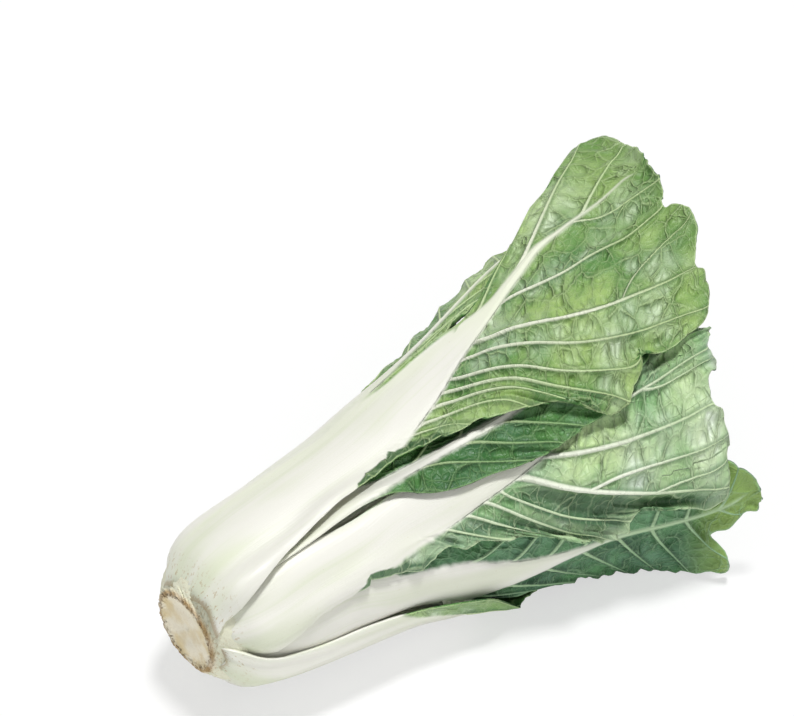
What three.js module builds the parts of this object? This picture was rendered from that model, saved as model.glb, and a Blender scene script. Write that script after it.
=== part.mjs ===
// A whole head of bok choy, cut at the stem and lying on its side. Millimetres, +Z up.
//
// The head grows along +X from the cut face of its stem. Every leaf is one closed solid, stalk
// and blade together, and it is described in cylindrical coordinates about the head's axis:
//   x       distance from the cut face
//   angle   0 degrees on the far side (+Y), 90 on top, 180 on the near side (-Y), 270 below
//   radius  distance from the axis
// The leaves are laid on one after another, from the heart outwards. Each one rests on what is
// already there, so that none cuts another, and the lowest ones lie flat on the ground.
import * as THREE from 'three';
import { mergeVertices } from 'three/addons/utils/BufferGeometryUtils.js';

// ---- driving dimensions -------------------------------------------------------------------

const AXIS_HEIGHT = 46;            // head's axis above the ground it lies on
const HEAD_LENGTH = 311;           // cut face to the tip of the longest leaf
const LEAF_GAP = 0.9;              // clear space between one leaf and the next
const MARGIN_THICKNESS = 1.8;      // blade and stalk edge
const SQUEEZE = 0.2;               // share of a stalk's flesh that it keeps where room is short
const STALK_DROP = 0.3;            // how far a stalk's edges fall away, as a share of its thickness
const BASE_FILL = 14;              // length over which a leaf's base is joined on to the stem
const STALK_COLUMN = 0.4;          // share of the columns on the stalk or midrib

// Radius of the stem that the leaves grow from: a stub with a rounded end inside the heart.
const STEM_RADIUS = curve([[0, 20], [1, 20.8], [4, 21.6], [8, 21.4], [14, 19.5], [22, 15.5], [30, 9.5], [36, 1]]);
const STEM_LENGTH = 36;

// Outline of the whole head. The leafy end is wider than it is tall, because it lies on its side.
const HALF_WIDTH = curve([[0, 20.5], [3, 25.5], [8, 32], [14, 36], [21, 38.6], [30, 41], [45, 44],
  [60, 46], [80, 48.5], [100, 51], [190, 72], [265, 98], [320, 115]]);
const HALF_HEIGHT = curve([[0, 20.5], [3, 25.5], [8, 32], [14, 36], [21, 38.6], [30, 41], [45, 44],
  [60, 46], [80, 48.5], [100, 51], [190, 59], [265, 69], [320, 77]]);

// The leaves from the heart outwards. A curve is a list of [x, value] points.
//   direction      angle of the stalk and midrib, in degrees
//   before, after  width from the midrib to either margin, in mm along the girth: `after` is the
//                  margin with the larger angle
//   stalk          half width of the fleshy stalk, which narrows to the midrib
//   depth          how far the leaf lies below the head's outline
//   raise          how far the `after` margin spreads beyond it
//   clear          height kept free between the leaf and the ground
//   tuck           more of that height under the `before` margin, where the next leaf lies
//   ruffle         depth of the waves at the margins
//   columns        facets across it, of which four tenths are on the stalk; `facets` along it
const LEAVES = [
  {
    name: 'heart_leaf_small', start: 28, tip: 122, thickness: 4, columns: 10, facets: 12, color: 0xa8bd5f,
    direction: [[28, 60], [122, 70]],
    before: [[28, 7], [60, 9], [90, 14], [115, 9], [122, 2]],
    after: [[28, 7], [60, 9], [90, 14], [115, 9], [122, 2]],
    stalk: [[28, 8], [70, 6], [122, 1.5]],
    depth: [[28, 31], [60, 36], [122, 44]], clear: [[0, 26], [1, 26]], ruffle: 1,
  },
  {
    name: 'heart_leaf_middle', start: 26, tip: 152, thickness: 4, columns: 10, facets: 12, color: 0x9db855,
    direction: [[26, 240], [152, 235]],
    before: [[26, 9], [60, 11], [110, 21], [142, 13], [152, 2]],
    after: [[26, 9], [60, 11], [110, 21], [142, 13], [152, 2]],
    stalk: [[26, 10], [80, 7], [152, 1.5]],
    depth: [[26, 28], [60, 30], [152, 38]], clear: [[0, 20], [1, 20]], ruffle: 1.5,
  },
  {
    name: 'heart_leaf_large', start: 24, tip: 186, thickness: 5, columns: 10, facets: 14, color: 0x8fb04c,
    direction: [[24, 150], [186, 155]],
    before: [[24, 11], [60, 13], [130, 29], [172, 18], [186, 2]],
    after: [[24, 11], [60, 13], [130, 29], [172, 18], [186, 2]],
    stalk: [[24, 12], [90, 9], [130, 4], [186, 1.5]],
    depth: [[24, 22], [60, 23], [186, 30]], clear: [[0, 15], [1, 15]], ruffle: 2,
  },
  {
    name: 'inner_leaf_far', start: 19, tip: 236, thickness: 6, columns: 10, facets: 16, color: 0x5f8f3c,
    direction: [[19, 352], [236, 350]],
    before: [[19, 14], [60, 17], [110, 16], [170, 36], [215, 26], [236, 3]],
    after: [[19, 14], [60, 17], [110, 16], [170, 36], [215, 26], [236, 3]],
    stalk: [[19, 15], [60, 17], [110, 12], [150, 5], [236, 1.5]],
    depth: [[19, 12], [60, 11], [236, 14]], clear: [[0, 8], [1, 8]], ruffle: 3,
  },
  {
    name: 'inner_leaf_near', start: 17, tip: 250, thickness: 6, columns: 10, facets: 16, color: 0x5f8f3c,
    direction: [[17, 210], [100, 208], [250, 200]],
    before: [[17, 14], [60, 17], [110, 16], [180, 36], [230, 26], [250, 3]],
    after: [[17, 14], [60, 17], [110, 16], [180, 34], [230, 24], [250, 3]],
    stalk: [[17, 15], [60, 17], [110, 12], [150, 5], [250, 1.5]],
    depth: [[17, 13], [60, 13], [180, 12], [250, 14]], clear: [[0, 9], [1, 9]], ruffle: 3,
  },
  {
    name: 'inner_leaf_top', start: 15, tip: 266, thickness: 6, columns: 10, facets: 16, color: 0x5f8f3c,
    direction: [[15, 76], [266, 76]],
    before: [[15, 15], [60, 17], [110, 16], [190, 42], [245, 30], [266, 3]],
    after: [[15, 15], [60, 17], [110, 16], [190, 42], [245, 30], [266, 3]],
    stalk: [[15, 16], [60, 17], [110, 12], [150, 5], [266, 1.5]],
    depth: [[15, 13], [60, 13], [266, 13]], ruffle: 3,
  },
  {
    name: 'bottom_far_leaf', start: 5, tip: 270, thickness: 8, columns: 10, facets: 20, color: 0x4c8138,
    direction: [[5, 306], [100, 304], [200, 302], [270, 306]],
    before: [[5, 19], [30, 27], [60, 30], [105, 27], [130, 29], [200, 46], [250, 36], [270, 4]],
    after: [[5, 19], [30, 27], [60, 30], [105, 27], [130, 31], [200, 50], [250, 40], [270, 4]],
    stalk: [[5, 22], [60, 30], [100, 26], [130, 12], [170, 6], [270, 1.5]],
    depth: [[5, 1], [270, 0]], tuck: [[115, 0], [140, 3.4]], ruffle: 4,
  },
  {
    name: 'near_side_leaf', start: 8, tip: 258, thickness: 8, columns: 20, facets: 22, color: 0x3f7a4c,
    direction: [[8, 174], [32, 175], [50, 171], [75, 168], [96, 170], [120, 174], [145, 179],
      [180, 180], [221, 183], [240, 182], [258, 178]],
    before: [[8, 16], [50, 18], [110, 18], [150, 25], [200, 38], [230, 42], [246, 30], [258, 5]],
    after: [[8, 16], [50, 18], [97, 19], [120, 24], [158, 37], [192, 40], [222, 37], [236, 31], [244, 13], [258, 4]],
    stalk: [[8, 18], [50, 19], [100, 15], [130, 9], [165, 5], [215, 2.5], [256, 1.5]],
    depth: [[8, 2], [50, 1.5], [256, 0]], raise: [[120, 0], [158, 3], [192, 7], [222, 13], [238, 15], [246, 0]],
    ruffle: 2,
  },
  {
    name: 'far_side_leaf', start: 7, tip: 292, thickness: 8, columns: 10, facets: 20, color: 0x4c8138,
    direction: [[7, 22], [50, 32], [100, 38], [150, 41], [196, 38], [229, 35], [292, 28]],
    before: [[7, 18], [50, 20], [110, 19], [140, 26], [215, 52], [265, 44], [292, 5]],
    after: [[7, 18], [50, 20], [110, 18], [150, 14], [215, 15], [265, 16], [292, 4]],
    stalk: [[7, 20], [60, 20], [110, 16], [140, 9], [180, 5], [230, 3], [292, 1.5]],
    depth: [[7, 2], [50, 2], [120, 3], [160, 2], [200, 0], [292, -2]], ruffle: 4,
  },
  {
    name: 'top_near_leaf', start: 6, tip: 270, thickness: 9, columns: 20, facets: 27, color: 0x7da45a,
    direction: [[6, 143], [30, 141], [50, 138], [75, 137], [100, 133], [165, 133], [194, 128],
      [230, 118], [270, 109]],
    before: [[6, 16], [50, 17], [100, 14], [130, 13], [160, 16], [200, 40], [232, 56], [256, 44], [270, 8]],
    after: [[6, 15], [20, 21], [50, 15], [88, 14], [105, 20], [138, 33], [168, 47], [195, 63],
      [230, 72], [246, 68], [258, 46], [270, 8]],
    stalk: [[6, 18], [60, 16], [100, 14], [135, 12], [165, 8], [195, 5], [240, 2.6], [270, 1.5]],
    depth: [[6, 0], [270, 0]], ruffle: 4,
  },
  {
    name: 'gap_leaf', start: 9, tip: 250, thickness: 6, columns: 10, facets: 22, color: 0x3f6f38,
    direction: [[9, 108], [55, 107], [80, 105], [110, 104], [140, 107], [165, 110], [200, 111], [250, 109]],
    before: [[9, 11], [55, 11], [110, 11], [150, 20], [200, 30], [232, 24], [250, 5]],
    after: [[9, 8], [55, 8], [85, 9], [100, 12], [122, 24], [150, 26], [168, 28], [200, 27],
      [232, 22], [250, 5]],
    stalk: [[9, 14], [55, 12], [110, 9], [140, 6], [170, 3.5], [250, 1.5]],
    depth: [[9, 7], [50, 6], [105, 6], [150, 4], [250, 3]], ruffle: 3,
  },
  {
    name: 'bottom_near_leaf', start: 3, tip: 234, thickness: 9, columns: 10, facets: 22, color: 0x4c8138,
    direction: [[3, 213], [14, 216], [30, 219], [50, 222], [100, 223], [130, 232], [150, 243],
      [175, 250], [200, 256], [234, 258]],
    before: [[3, 23], [8, 27], [27, 29], [47, 31], [68, 33], [90, 32], [111, 31], [131, 36],
      [148, 31], [165, 28], [200, 34], [220, 24], [234, 5]],
    after: [[3, 15], [14, 24], [30, 29], [50, 31], [100, 30], [150, 33], [200, 38], [220, 26], [234, 5]],
    stalk: [[3, 26], [30, 29], [60, 31], [98, 29], [118, 18], [140, 9], [170, 5], [234, 1.5]],
    depth: [[3, 0], [110, 0], [150, -9], [165, -9], [200, -3], [234, 0]], ruffle: 2,
  },
  {
    name: 'top_far_leaf', start: 2.5, tip: HEAD_LENGTH, thickness: 9, columns: 20, facets: 31, color: 0x86a85c,
    direction: [[2.5, 77], [60, 80], [100, 79], [140, 71], [170, 66], [208, 60], [258, 49], [311, 38]],
    before: [[2.5, 30], [13, 33], [24, 30], [47, 24], [84, 19], [111, 18], [136, 13], [190, 9.5],
      [221, 14], [243, 16], [284, 23], [300, 19], [310, 5]],
    after: [[2.5, 31], [13, 34], [24, 32], [47, 27], [80, 23], [109, 23], [126, 30], [140, 38],
      [161, 51], [185, 64], [200, 76], [217, 93], [250, 108], [267, 113], [282, 102], [296, 78], [310, 12]],
    stalk: [[2.5, 30], [24, 28], [60, 24], [100, 20], [135, 14], [165, 8], [205, 4.5], [260, 2.6], [311, 1.5]],
    depth: [[2.5, 0], [311, 0]], ruffle: 4,
  },
];

// ---- curves -------------------------------------------------------------------------------

// A smooth curve through [x, value] points that doesn't overshoot between them.
function curve(points) {
  const steps = points.slice(1).map(([x, value], i) => (value - points[i][1]) / (x - points[i][0]));
  const slopes = points.map((point, i) => {
    if (i === 0 || i === points.length - 1) return 0;
    const product = steps[i - 1] * steps[i];
    return product > 0 ? (2 * product) / (steps[i - 1] + steps[i]) : 0;
  });
  return (x) => {
    let i = points.findIndex(([end]) => x < end) - 1;
    if (i === -2) return points[points.length - 1][1];
    if (i === -1) return points[0][1];
    const width = points[i + 1][0] - points[i][0];
    const t = (x - points[i][0]) / width;
    const u = 1 - t;
    return points[i][1] * u * u * (1 + 2 * t) + slopes[i] * width * t * u * u
      + points[i + 1][1] * t * t * (3 - 2 * t) - slopes[i + 1] * width * t * t * u;
  };
}

const { clamp, smoothstep, lerp, degToRad, euclideanModulo } = THREE.MathUtils;

const girth = (x) => (HALF_WIDTH(x) + HALF_HEIGHT(x)) / 2;

// Radius of the head's outline, an ellipse at each x.
function outline(x, angle) {
  return 1 / Math.hypot(Math.cos(degToRad(angle)) / HALF_WIDTH(x), Math.sin(degToRad(angle)) / HALF_HEIGHT(x));
}

// Radius at which a ray from the axis reaches the ground, or a plane `clear` above it.
function groundRadius(angle, clear) {
  const fall = -Math.sin(degToRad(angle));
  return fall > 0.05 ? (AXIS_HEIGHT - clear) / fall : Infinity;
}

// ---- the pile of leaves, as a radius on a grid of x and angle --------------------------------

const GRID_X = 3;                  // mm
const GRID_ANGLE = 3;              // degrees
const ROWS = Math.ceil(HEAD_LENGTH / GRID_X) + 2;
const TURNS = 360 / GRID_ANGLE;
const SPREAD_X = 3;                // grid cells by which what lies below is widened along x,
const SPREAD_ANGLE = 2;            // and round the axis
const BASE_SPREAD = 1;             // the same near the stem, where the leaves are short of room
const SOFTEN = 1;                  // grid cells over which that is then smoothed

const cell = (row, turn) => clamp(row, 0, ROWS - 1) * TURNS + euclideanModulo(turn, TURNS);

function makeGrid(value) {
  const grid = new Float64Array(ROWS * TURNS);
  for (let row = 0; row < ROWS; row += 1) {
    for (let turn = 0; turn < TURNS; turn += 1) grid[cell(row, turn)] = value(row, turn);
  }
  return grid;
}

function sample(grid, x, angle) {
  const row = clamp(x / GRID_X, 0, ROWS - 1.001);
  const turn = angle / GRID_ANGLE;
  const r = Math.floor(row);
  const t = Math.floor(turn);
  const low = lerp(grid[cell(r, t)], grid[cell(r, t + 1)], turn - t);
  const high = lerp(grid[cell(r + 1, t)], grid[cell(r + 1, t + 1)], turn - t);
  return lerp(low, high, row - r);
}

// Applies `pick` to the cells up to `reachX` away along x, and then `reachAngle` round the axis.
// Near the stem both are BASE_SPREAD.
function sweep(grid, reachX, reachAngle, pick) {
  const offsets = (row, far) => {
    const reach = Math.round(lerp(BASE_SPREAD, far, smoothstep(row * GRID_X, 25, 100)));
    return Array.from({ length: 2 * reach + 1 }, (_, i) => i - reach);
  };
  const swept = makeGrid((row, turn) => pick(offsets(row, reachX).map((k) => grid[cell(row + k, turn)])));
  return makeGrid((row, turn) => pick(offsets(row, reachAngle).map((k) => swept[cell(row, turn + k)])));
}

const largest = (values) => Math.max(...values);
const average = (values) => values.reduce((sum, value) => sum + value, 0) / values.length;

// ---- one leaf -------------------------------------------------------------------------------

const NOTHING = [[0, 0], [1, 0]];   // a curve that is zero everywhere

class Leaf {
  constructor(spec, pile) {
    Object.assign(this, spec);
    for (const key of ['direction', 'before', 'after', 'stalk', 'depth']) this[key] = curve(spec[key]);
    this.raise = curve(spec.raise ?? NOTHING);
    this.clear = curve(spec.clear ?? NOTHING);
    this.tuck = curve(spec.tuck ?? NOTHING);
    const widened = sweep(sweep(pile, SPREAD_X, SPREAD_ANGLE, largest), SOFTEN, SOFTEN, average);
    this.support = (x, angle) => sample(widened, x, angle) + LEAF_GAP;
  }

  // Distance from the midrib for a column from -1 to 1: the inner columns are on the stalk.
  offset(x, column) {
    const side = Math.sign(column);
    const width = side < 0 ? this.before(x) : this.after(x);
    const fleshy = Math.min(this.stalk(x), width * 0.45);
    const share = Math.abs(column);
    if (share <= STALK_COLUMN) return side * fleshy * (share / STALK_COLUMN);
    return side * lerp(fleshy, width, (share - STALK_COLUMN) / (1 - STALK_COLUMN));
  }

  thicknessAt(x, y) {
    const young = smoothstep(x, this.start - 6, this.start + BASE_FILL);
    const blade = this.start + 0.62 * (this.tip - this.start);
    const flesh = lerp(this.thickness, 2.4, smoothstep(x, 100, blade)) * young;
    const share = clamp(1 - (y / (this.stalk(x) + 1)) ** 2, 0, 1);
    return MARGIN_THICKNESS + Math.max(0, flesh - MARGIN_THICKNESS) * share ** 0.6;
  }

  // Waves that grow towards the free margins of the blade.
  wave(x, y) {
    const width = y < 0 ? this.before(x) : this.after(x);
    const free = clamp((Math.abs(y) - this.stalk(x)) / width, 0, 1);
    const blade = smoothstep(x, 100, 170);
    return this.ruffle * blade * free * (0.5 + 0.5 * Math.sin(x / 7 + y / 16 + this.start));
  }

  // Inner and outer radius at x, y mm from the midrib.
  radii(x, y) {
    const angle = this.direction(x) + THREE.MathUtils.radToDeg(y / girth(x));
    const width = y < 0 ? this.before(x) : this.after(x);
    const edge = clamp(Math.abs(y) / width, 0, 1);
    const thick = this.thicknessAt(x, y);
    const middle = this.thicknessAt(x, 0);
    const open = outline(x, angle) - this.depth(x) + (y > 0 ? this.raise(x) * edge ** 2 : 0);
    const grown = smoothstep(x, this.start - 4, this.start + BASE_FILL);
    const wanted = lerp(Math.min(STEM_RADIUS(x) + 5, open), open, this.start < 6 ? 1 : grown);
    const support = this.support(x, angle);
    const fill = (1 - smoothstep(x, this.start, this.start + BASE_FILL)) * (1 - edge ** 4);
    const outer = wanted - STALK_DROP * (middle - thick) + this.wave(x, y);
    const inner = Math.max(support, lerp(outer - thick, Math.min(support, outer - thick), fill));
    const ground = groundRadius(angle, this.clear(x) + this.tuck(x) * smoothstep(-y, 2, 14));
    const least = lerp(MARGIN_THICKNESS, thick, SQUEEZE);
    const top = Math.min(Math.max(outer, inner + least), ground);
    return { angle, inner: Math.min(inner, top - MARGIN_THICKNESS), outer: top };
  }

  // The pile with this leaf laid on it.
  laidOn(pile) {
    return makeGrid((row, turn) => {
      const x = row * GRID_X;
      const below = pile[cell(row, turn)];
      if (x < this.start - GRID_X || x > this.tip + GRID_X) return below;
      const inside = clamp(x, this.start, this.tip);
      const turned = euclideanModulo(turn * GRID_ANGLE - this.direction(inside) + 180, 360) - 180;
      const y = degToRad(turned) * girth(inside);
      if (y < -this.before(inside) - GRID_X || y > this.after(inside) + GRID_X) return below;
      return Math.max(below, this.radii(inside, clamp(y, -this.before(inside), this.after(inside))).outer);
    });
  }

  // A box, one facet thick, bent on to the leaf: its width runs across the leaf, its height along
  // it, and its depth from the inner to the outer face.
  geometry() {
    const box = new THREE.BoxGeometry(2, 1, 1, this.columns, this.facets, 1);
    box.deleteAttribute('normal');
    box.deleteAttribute('uv');
    const solid = mergeVertices(box);
    const position = solid.getAttribute('position');
    for (let i = 0; i < position.count; i += 1) {
      const along = position.getY(i) + 0.5;
      const x = lerp(this.start, this.tip, lerp(along, smoothstep(along, 0, 1), 0.6));
      const { angle, inner, outer } = this.radii(x, this.offset(x, position.getX(i)));
      const radius = position.getZ(i) < 0 ? inner : outer;
      position.setXYZ(i, x, radius * Math.cos(degToRad(angle)), radius * Math.sin(degToRad(angle)));
    }
    return solid;
  }
}

// ---- the stem butt --------------------------------------------------------------------------

// The cut stub of stem, turned about the head's axis. The cut face is dished a little.
function stemGeometry() {
  const profile = [new THREE.Vector2(0, 0.8), new THREE.Vector2(17, 0.4), new THREE.Vector2(19.6, 0)];
  for (let x = 1; x < STEM_LENGTH; x += 5) profile.push(new THREE.Vector2(STEM_RADIUS(x), x));
  profile.push(new THREE.Vector2(0, STEM_LENGTH));
  const stub = new THREE.LatheGeometry(profile, 28);
  stub.rotateZ(-Math.PI / 2);
  return stub;
}

// ---- assembly -------------------------------------------------------------------------------

function piece(name, geometry, color, roughness) {
  const mesh = new THREE.Mesh(geometry, new THREE.MeshStandardMaterial({ color, roughness, metalness: 0 }));
  mesh.name = name;
  return mesh;
}

const head = new THREE.Group();
head.add(piece('stem_butt', stemGeometry(), 0xd9c7a0, 0.8));

let pile = makeGrid((row) => (row * GRID_X < STEM_LENGTH ? STEM_RADIUS(row * GRID_X) : 0));
for (const spec of LEAVES) {
  const leaf = new Leaf(spec, pile);
  head.add(piece(leaf.name, leaf.geometry(), leaf.color, 0.5));
  pile = leaf.laidOn(pile);
}

// The origin is on the ground, under the middle of the head.
const bounds = new THREE.Box3().setFromObject(head);
const middle = bounds.getCenter(new THREE.Vector3());
head.position.set(-middle.x, -middle.y, -bounds.min.z);

const bokChoy = new THREE.Group();
bokChoy.add(head);

export default bokChoy;
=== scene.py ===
# %% [markdown]
# # A head of bok choy
# The head lies on its side. It is a short cut stem with leaves nested round it, and every leaf is
# one piece: a thick white stalk at the bottom, a midrib above, and a thin green blade with raised
# veins on its underside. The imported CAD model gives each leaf's place, width and curl. Here each
# leaf is rebuilt as a fine mesh on that shape, with veins, cushions between the veins, lobed and
# waved margins, and a finish that follows the veins.

# %% The frame
import bpy
import numpy as np
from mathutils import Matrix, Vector


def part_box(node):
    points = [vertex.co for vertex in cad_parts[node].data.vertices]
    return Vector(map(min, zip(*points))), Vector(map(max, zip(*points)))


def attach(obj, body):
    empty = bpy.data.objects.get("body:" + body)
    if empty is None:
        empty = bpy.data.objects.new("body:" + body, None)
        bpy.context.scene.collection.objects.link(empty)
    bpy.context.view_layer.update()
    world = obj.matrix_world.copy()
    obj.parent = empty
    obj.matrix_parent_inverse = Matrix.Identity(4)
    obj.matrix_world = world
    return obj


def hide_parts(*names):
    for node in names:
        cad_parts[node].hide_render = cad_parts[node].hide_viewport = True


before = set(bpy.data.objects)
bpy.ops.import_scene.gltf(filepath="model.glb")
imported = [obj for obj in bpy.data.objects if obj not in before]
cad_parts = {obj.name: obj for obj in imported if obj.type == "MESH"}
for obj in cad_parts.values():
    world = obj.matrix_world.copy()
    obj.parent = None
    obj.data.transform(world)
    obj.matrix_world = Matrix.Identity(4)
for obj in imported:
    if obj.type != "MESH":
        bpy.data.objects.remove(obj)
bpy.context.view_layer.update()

MM = 0.001
bpy.ops.object.select_all(action="DESELECT")

# %% [markdown]
# ## The head's own coordinates
# All the leaves wrap round one straight axis, so places are easiest to say as a distance from the
# cut face, an angle round the axis and a radius. The stem butt is turned about that axis, so its
# box gives the axis and the cut face. The angle is 0 on the far side, 90 on top and 180 on the
# near side.

# %% Axis and cut face
butt_low, butt_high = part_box("stem_butt")
CUT_X = butt_low[0]
AXIS_Y = (butt_low[1] + butt_high[1]) / 2
AXIS_Z = (butt_low[2] + butt_high[2]) / 2
print(f"axis at y {AXIS_Y:.4f}, z {AXIS_Z:.4f}, cut face at x {CUT_X:.4f}")


def to_frame(along, angle, radius):
    """Points in the frame, in metres, from mm along the axis, degrees round it and a radius in mm."""
    turn = np.radians(angle)
    return np.stack([CUT_X + along * MM,
                     AXIS_Y + radius * MM * np.cos(turn),
                     AXIS_Z + radius * MM * np.sin(turn)], axis=-1)


# %% [markdown]
# ## Smooth curves
# Stalk widths, thicknesses and the like are given as a few [place, value] points, and read through
# a curve that passes through every point. The same formula joins the CAD model's sections, so the
# flat facets turn into a smooth sheet.

# %% Curves through points
def slopes(places, values):
    """Slope of a smooth curve at each of its points, along the first axis."""
    steps = np.diff(places)
    steps = steps.reshape((-1,) + (1,) * (values.ndim - 1))
    rises = np.diff(values, axis=0) / steps
    inner = (rises[:-1] * steps[1:] + rises[1:] * steps[:-1]) / (steps[1:] + steps[:-1])
    return np.concatenate([rises[:1], inner, rises[-1:]])


def cubic(t, width, low, high, low_slope, high_slope):
    """A smooth value between two points `width` apart, at the share `t` of the way."""
    u = 1 - t
    return (low * u * u * (1 + 2 * t) + low_slope * width * t * u * u
            + high * t * t * (3 - 2 * t) - high_slope * width * t * t * u)


def follow(places, values, at, slope=None):
    """Values of a smooth curve through `values` at `places`. It is held level past both ends."""
    places = np.asarray(places, float)
    values = np.asarray(values, float)
    at = np.clip(np.asarray(at, float), places[0], places[-1])
    slope = slopes(places, values) if slope is None else slope
    i = np.clip(np.searchsorted(places, at, side="right") - 1, 0, len(places) - 2)
    shape = at.shape + (1,) * (values.ndim - 1)
    width = (places[i + 1] - places[i]).reshape(shape)
    t = ((at - places[i]) / (places[i + 1] - places[i])).reshape(shape)
    return cubic(t, width, values[i], values[i + 1], slope[i], slope[i + 1])


def curve(points):
    """A function that follows [place, value] points without overshooting between them."""
    places, values = np.array(points, float).T
    rises = np.diff(values) / np.diff(places)
    slope = np.zeros(len(places))
    product = rises[:-1] * rises[1:]
    total = np.where(product > 0, rises[:-1] + rises[1:], 1)
    slope[1:-1] = np.where(product > 0, 2 * product / total, 0)
    return lambda at: follow(places, values, at, slope)


def ease(value, low, high):
    """0 below `low`, 1 above `high`, and a smooth step between them."""
    t = np.clip((value - low) / (high - low), 0, 1)
    return t * t * (3 - 2 * t)


def even_out(values, times):
    """Draws each value towards its neighbours, `times` over, and leaves the first and last."""
    for _ in range(times):
        values[1:-1] = (values[:-2] + 2 * values[1:-1] + values[2:]) / 4


def lengths_up(points):
    """Length along a line of points, from the first to each."""
    return np.concatenate([[0], np.cumsum(np.hypot(*np.diff(points, axis=0).T))])


def closest(points, target):
    """Number of the point nearest a target."""
    return int(np.argmin(np.hypot(*(points - target).T)))


# %% [markdown]
# ## Reading a leaf from its CAD solid
# Each CAD leaf is a bent slab: rings of points at equal distances from the cut face, and in each
# ring pairs of points, one on the inner face and one on the outer face, at one angle. So a leaf
# can be read back as a table of angles and radii. Here `across` is the distance from the midrib
# round the head, in mm, with plus towards the larger angles.

# %% The sheet that a leaf lies on
class Sheet:
    """A leaf's smooth outer face and thickness, read from its CAD solid."""

    def __init__(self, node):
        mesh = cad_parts[node].data
        points = np.empty(len(mesh.vertices) * 3)
        mesh.vertices.foreach_get("co", points)
        points = np.unique(np.round(points.reshape(-1, 3) / MM, 3), axis=0)
        rings = []
        for place in np.unique(np.round(points[:, 0], 1)):
            ring = points[np.abs(points[:, 0] - place) < 0.06]
            y = ring[:, 1] - AXIS_Y / MM
            z = ring[:, 2] - AXIS_Z / MM
            middle = np.degrees(np.arctan2(z.mean(), y.mean()))
            angle = (np.degrees(np.arctan2(z, y)) - middle + 180) % 360 - 180 + middle
            order = np.argsort(angle)
            angle = angle[order].reshape(-1, 2).mean(axis=1)
            radius = np.sort(np.hypot(y, z)[order].reshape(-1, 2), axis=1)
            rings.append((place - CUT_X / MM, angle % 360 if middle < -90 else angle, radius))
        self.along = np.array([ring[0] for ring in rings])
        self.angle = np.unwrap(np.array([ring[1] for ring in rings]), axis=0, period=360)
        inner, outer = np.moveaxis(np.array([ring[2] for ring in rings]), 2, 0)
        self.columns = self.angle.shape[1]
        self.outer = self.soften(outer)
        self.thick = outer - inner
        self.middle = self.angle[:, self.columns // 2]
        self.girth = self.soften(outer.mean(axis=1))
        self.across = np.radians(self.angle - self.middle[:, None]) * self.girth[:, None]
        self.start, self.tip = self.along[0], self.along[-1]
        self.spread_steps()

    def spread_steps(self):
        """Spreads each ring's steep steps over a wider strip, more so in the blade."""
        for k, place in enumerate(self.along):
            width = 2.0 + 7.0 * ease(place, 140, 215)
            at = self.across[k]
            fine = np.linspace(at[0], at[-1], 240)
            level = np.interp(fine, at, self.outer[k])
            weight = np.exp(-0.5 * ((at[:, None] - fine) / width) ** 2)
            self.outer[k] = (weight * level).sum(axis=1) / weight.sum(axis=1)

    @staticmethod
    def soften(table):
        """The same table with each ring drawn towards its neighbours."""
        soft = table.copy()
        soft[1:-1] = 0.5 * table[1:-1] + 0.25 * (table[:-2] + table[2:])
        return soft

    def angle_at(self, along, across):
        middle = follow(self.along, self.middle, along)
        return middle + np.degrees(across / follow(self.along, self.girth, along))

    def across_at(self, along, angle):
        middle = follow(self.along, self.middle, along)
        return np.radians(angle - middle) * follow(self.along, self.girth, along)

    def spot(self, along, angle):
        """A place and an angle as a point [along, across]."""
        along = np.asarray(along, float)
        return np.stack([along, self.across_at(along, angle)], axis=-1)

    def read(self, table, along, across):
        """A table's value at points of the sheet, held level past its margins."""
        shape = along.shape
        along, across = along.ravel(), across.ravel()
        places = follow(self.along, self.across, along)
        values = follow(self.along, table, along)
        rows = np.arange(len(along))
        j = np.clip((places < across[:, None]).sum(axis=1) - 1, 0, self.columns - 2)
        before, after = np.maximum(j - 1, 0), np.minimum(j + 2, self.columns - 1)
        p0, p1, p2, p3 = (places[rows, k] for k in (before, j, j + 1, after))
        v0, v1, v2, v3 = (values[rows, k] for k in (before, j, j + 1, after))
        width = p2 - p1
        slope1 = (v2 - v0) / np.maximum(p2 - p0, 0.1)
        slope2 = (v3 - v1) / np.maximum(p3 - p1, 0.1)
        t = np.clip((across - p1) / np.maximum(width, 0.01), 0, 1)
        return cubic(t, width, v1, v2, slope1, slope2).reshape(shape)

    def margin(self):
        """The leaf's outline as points [along, across], up one margin and down the other."""
        places = np.linspace(self.start, self.tip, 600)
        edges = follow(self.along, self.across[:, [0, -1]], places)
        up = np.stack([places, edges[:, 0]], axis=1)
        down = np.stack([places, edges[:, 1]], axis=1)[::-1]
        return np.concatenate([up, down])


# %% [markdown]
# ## How a blade is laid out
# On a real leaf the side veins leave the midrib at a slant and run out to the margin, and
# everything follows them: the cushions lie between them, and the margin is notched where they end.
# So the mesh follows them too. Its rows run along the side veins, from a root on the midrib to a
# place on the margin, and its columns run up the leaf. A vein is given as its root, the place and
# angle of its end, the depth of the notch there and, where it matters, its weight. `phase` counts
# the side veins, so a vein lies wherever the phase is a whole number. The side with the smaller
# angles is called before, the other after.

# %% One side of a blade
BLUNT = 3.0                        # mm of the margin left out at each side of the tip
PLAIN_STEP = 12.0                  # mm between the level rows below the lowest side vein
PLAIN_GAP = 22.0                   # mm from the last of those to that vein
FIRST_VEIN, LAST_VEIN = 0.46, 0.93   # share of the leaf's length, for veins spaced evenly
VEIN_LEAD = 0.16                   # of the length, from the first one's root to its end


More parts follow.
